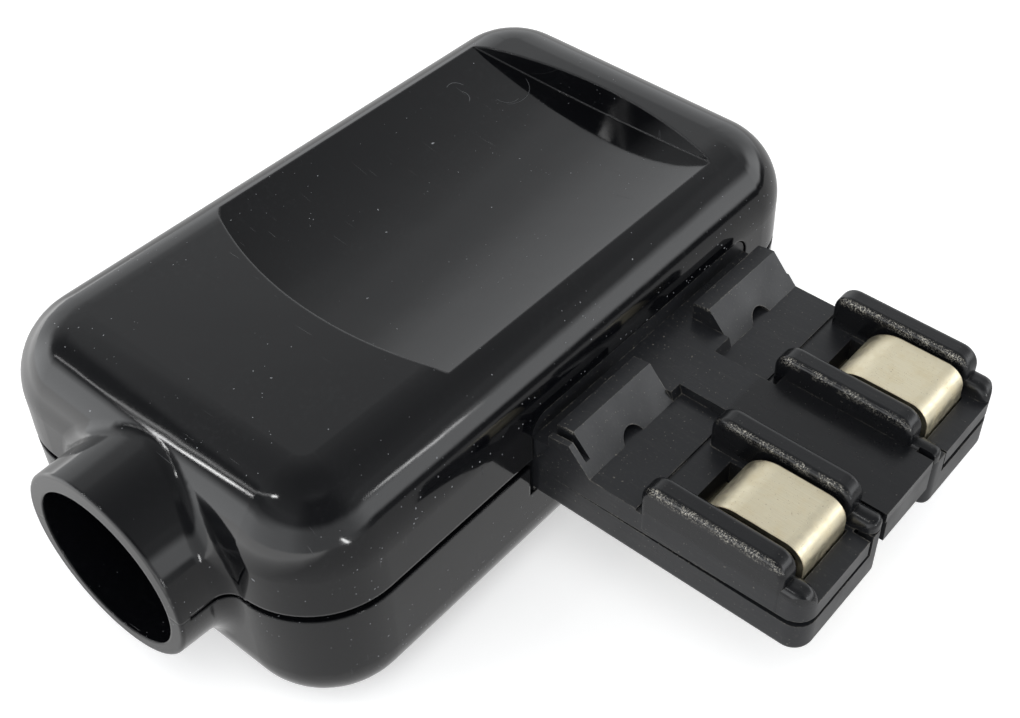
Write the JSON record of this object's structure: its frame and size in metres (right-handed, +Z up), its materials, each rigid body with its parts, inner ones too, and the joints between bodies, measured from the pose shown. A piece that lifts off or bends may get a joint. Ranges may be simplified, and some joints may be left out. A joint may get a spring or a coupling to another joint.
{
  "type": "grounded plug",
  "caption": "Angled grounded plug: a rounded rewirable housing with a cord collar, a finger scoop and a flat side tongue that carries sprung line and earth contacts",
  "frame": {"origin": "middle of the housing's flat underside, collar and tongue left out", "axes": "+Z up from the underside to the finger scoop, the housing is long along Y with the cord collar at -Y, and the contact tongue points to +X"},
  "size_m": [0.0545, 0.0588, 0.0206],
  "materials": {
    "housing": "polished black thermoplastic",
    "insert": "satin black thermoset",
    "contact": "plated and lightly worn",
    "terminal": "machined brass",
    "screw": "zinc-plated steel",
    "clamp": "satin dark grey thermoplastic"
  },
  "bodies": {
    "root": {"upper_shell": "housing", "lower_shell": "housing", "tongue_upper": "insert", "tongue_lower": "insert", "live_contact": "contact", "neutral_contact": "contact", "earth_contact": "contact", "live_terminal": "terminal", "neutral_terminal": "terminal", "earth_terminal": "terminal", "live_terminal_screw": "screw", "neutral_terminal_screw": "screw", "earth_terminal_screw": "screw", "cord_clamp": "clamp", "left_clamp_screw": "screw", "right_clamp_screw": "screw", "front_housing_screw": "screw", "rear_housing_screw": "screw", "front_threaded_insert": "terminal", "rear_threaded_insert": "terminal", "near_insert_screw": "screw", "far_insert_screw": "screw"}
  },
  "joints": []
}
